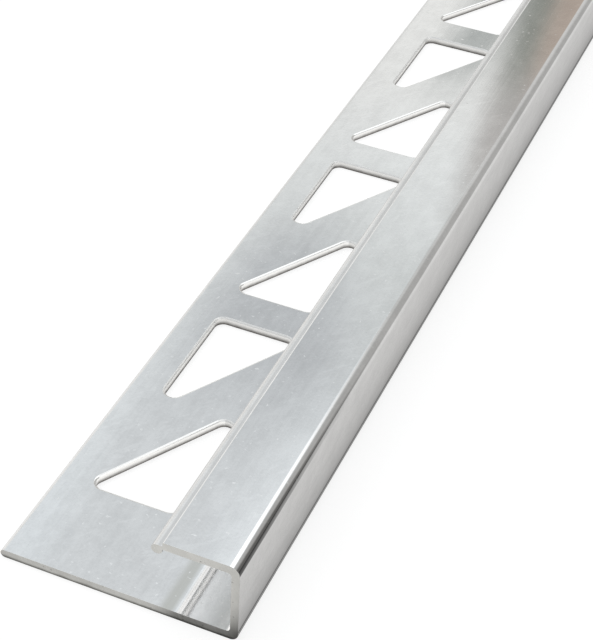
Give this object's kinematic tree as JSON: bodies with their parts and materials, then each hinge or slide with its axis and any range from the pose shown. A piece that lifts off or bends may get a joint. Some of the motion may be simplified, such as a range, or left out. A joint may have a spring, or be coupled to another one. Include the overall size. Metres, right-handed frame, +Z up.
{
  "type": "tile edge trim",
  "caption": "Straight aluminium tile edge trim: a flat perforated anchoring leg, an upright wall and a narrow cover with a beaded lip, which finishes and protects a tile's exposed edge.",
  "frame": {"origin": "centre of the bounding box, on the underside of the anchoring leg", "axes": "+Y along the length, away from the end with the longer plain stretch; +X from the free edge of the anchoring leg to the wall; +Z up, from the underside to the visible top face"},
  "size_m": [0.0286, 1, 0.011],
  "materials": {
    "bright_aluminium": "bright polished"
  },
  "bodies": {
    "root": {"edge_trim": "bright_aluminium"}
  },
  "joints": []
}
